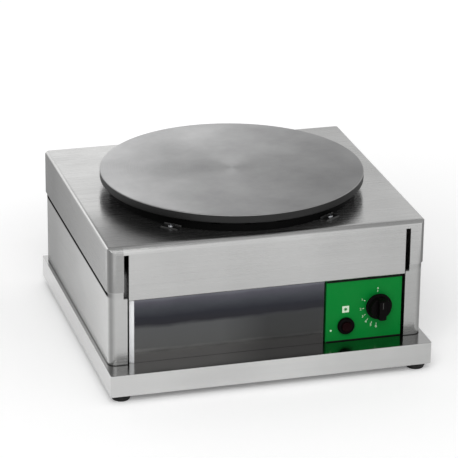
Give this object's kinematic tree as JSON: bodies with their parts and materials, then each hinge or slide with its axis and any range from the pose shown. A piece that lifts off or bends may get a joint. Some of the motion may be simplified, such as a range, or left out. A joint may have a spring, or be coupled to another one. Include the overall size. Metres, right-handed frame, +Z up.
{
  "type": "gas_crepe_maker",
  "caption": "Countertop gas crepe maker: round cast-iron plate over a star burner in a folded stainless housing with a green control panel, gas knob and igniter button",
  "frame": {"origin": "on the worktop, at the centre of the base, which is also below the cooking plate's centre", "axes": "X to the right as seen from the front, Y from the control panel to the back, Z up"},
  "size_m": [0.491, 0.476, 0.2595],
  "materials": {
    "stainless": "brushed and polished",
    "dark_steel": "dark polished",
    "green_panel": "smooth satin paint",
    "plate_iron": "ground satin top",
    "ring_black": "black enamel",
    "burner_iron": "as cast",
    "black_plastic": "moulded",
    "red_plastic": "moulded",
    "foot_rubber": "moulded",
    "brass": "machined",
    "copper": "drawn tube",
    "zinc_steel": "zinc plated",
    "ceramic": "glazed",
    "lead_silicone": "smooth sleeve"
  },
  "bodies": {
    "housing": {"base_tray": "stainless", "foot_plates": "zinc_steel", "rubber_feet": "foot_rubber", "foot_screws": "zinc_steel", "foot_nuts": "zinc_steel", "base_screws": "zinc_steel", "left_side_panel": "stainless", "right_side_panel": "stainless", "rear_panel": "stainless", "rear_screws": "zinc_steel", "lower_front_panel": "dark_steel", "control_panel": "green_panel", "top_cover": "stainless", "burner_ring": "ring_black", "ring_tabs": "stainless", "tab_screws": "zinc_steel", "star_burner": "burner_iron", "burner_bridge": "zinc_steel", "mixing_tube": "burner_iron", "air_shutter": "zinc_steel", "shutter_screw": "zinc_steel", "injector": "brass", "burner_pipe": "copper", "burner_pipe_nuts": "brass", "supply_pipe": "copper", "supply_pipe_nuts": "brass", "gas_inlet": "brass", "inlet_lock_nut": "brass", "valve_body": "brass", "valve_nut": "zinc_steel", "magnet_unit": "zinc_steel", "thermocouple": "copper", "thermocouple_lead": "copper", "pilot_bracket": "zinc_steel", "pilot_screw": "zinc_steel", "spark_electrode": "ceramic", "electrode_pin": "zinc_steel", "ignition_lead": "lead_silicone", "igniter_body": "black_plastic", "igniter_bezel": "black_plastic", "heat_shield": "zinc_steel"},
    "valve_plug": {"valve_plug": "brass"},
    "knob": {"gas_knob": "black_plastic", "valve_spindle": "zinc_steel"},
    "igniter_button": {"igniter_button": "red_plastic"},
    "cooking_plate": {"cooking_plate": "plate_iron"}
  },
  "joints": [
    {"name": "gas_valve", "type": "hinge", "parent": "housing", "child": "valve_plug", "pos_m": [0.171, -0.175, 0.098], "axis": [0, -1, 0], "range_deg": [0, 180]},
    {"name": "knob_push", "type": "slide", "parent": "valve_plug", "child": "knob", "axis": [0, 1, 0], "range_m": [0, 0.004], "stiffness_N_per_m": 800, "springref_m": -0.002},
    {"name": "igniter_push", "type": "slide", "parent": "housing", "child": "igniter_button", "axis": [0, 1, 0], "range_m": [0, 0.005], "stiffness_N_per_m": 1000, "springref_m": -0.002},
    {"name": "plate_lift", "type": "slide", "parent": "housing", "child": "cooking_plate", "axis": [0, 0, 1], "range_m": [0, 0.06]}
  ]
}
